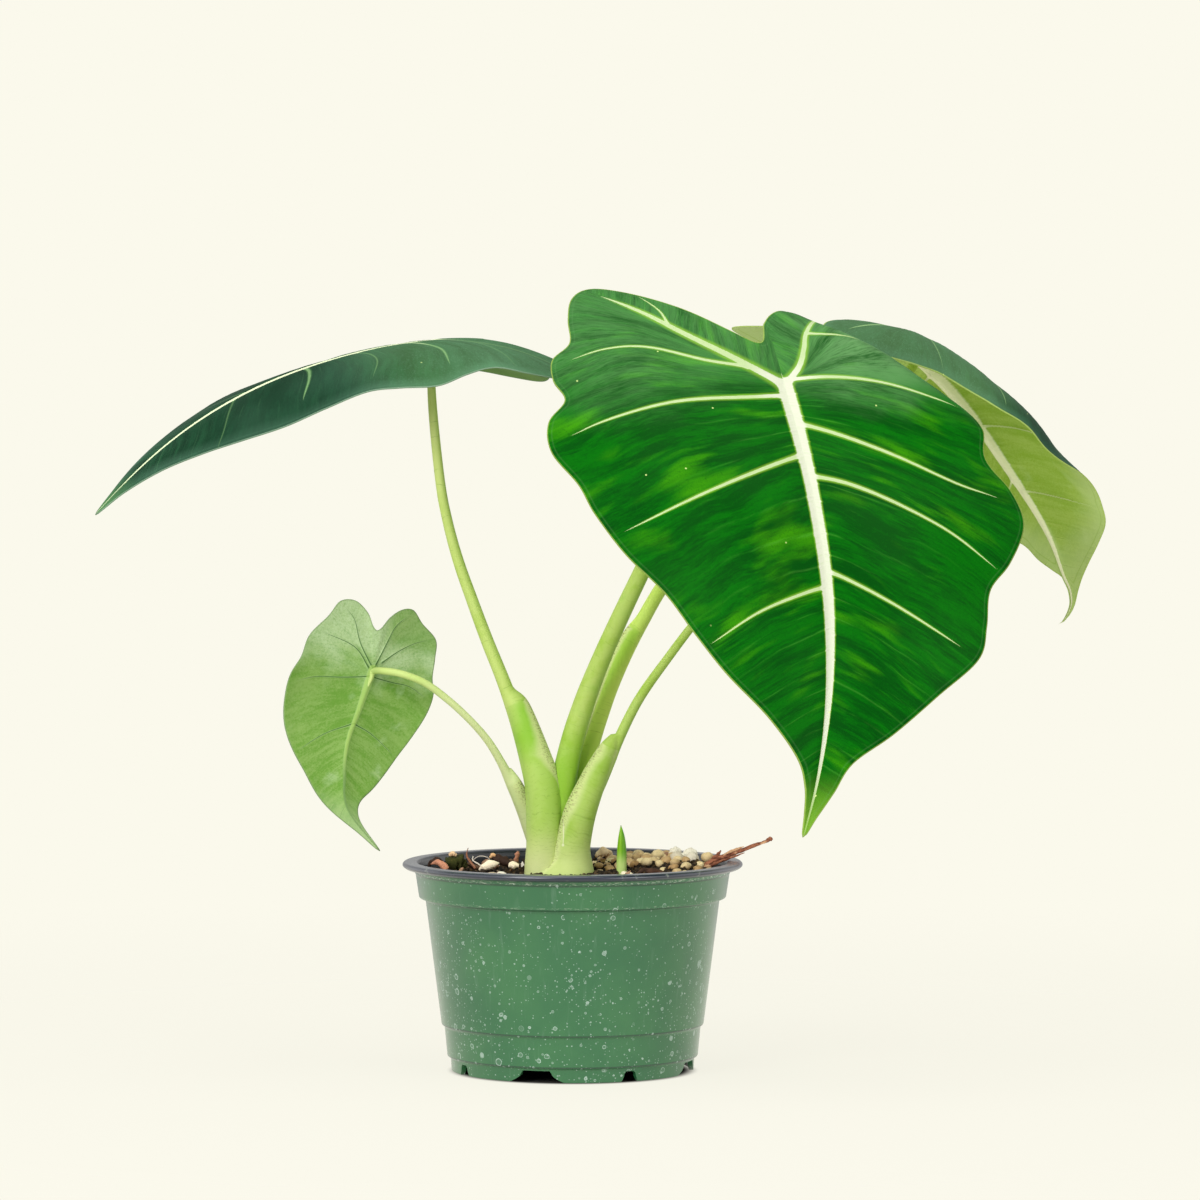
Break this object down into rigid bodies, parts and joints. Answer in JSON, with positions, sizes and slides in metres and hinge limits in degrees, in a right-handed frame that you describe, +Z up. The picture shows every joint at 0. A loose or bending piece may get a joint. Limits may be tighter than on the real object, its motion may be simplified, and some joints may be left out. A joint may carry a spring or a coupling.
{
  "type": "potted alocasia plant",
  "caption": "Small aroid house plant with arrow-shaped, pale-veined leaves on fleshy stalks, growing from soil in a tapered plastic nursery pot.",
  "frame": {"origin": "centre of the pot's base, on the surface that the pot stands on", "axes": "+Z up along the pot's axis, -Y towards the side that the largest leaf faces, +X to the right seen from there"},
  "size_m": [0.4785, 0.2444, 0.3675],
  "materials": {
    "pot_plastic": "satin moulded plastic with dried water spots",
    "soil_mix": "rough potting mix with bark, pebbles and perlite",
    "twig_bark": "dry bark",
    "shoot_green": "smooth young leaf sheath",
    "stalk_green": "smooth fleshy stalk with fine rings",
    "blade_a": "velvety leaf with pale veins",
    "blade_b": "velvety leaf with pale veins",
    "blade_c": "smooth leaf, pale under side towards the front",
    "blade_d": "velvety leaf, pale under side towards the front",
    "blade_e": "velvety leaf with pale veins"
  },
  "bodies": {
    "root": {"pot": "pot_plastic", "soil": "soil_mix", "twig": "twig_bark", "shoot": "shoot_green", "petiole_a": "stalk_green", "petiole_b": "stalk_green", "petiole_c": "stalk_green", "petiole_d": "stalk_green", "petiole_e": "stalk_green", "leaf_a": "blade_a", "leaf_b": "blade_b", "leaf_c": "blade_c", "leaf_d": "blade_d", "leaf_e": "blade_e"}
  },
  "joints": []
}
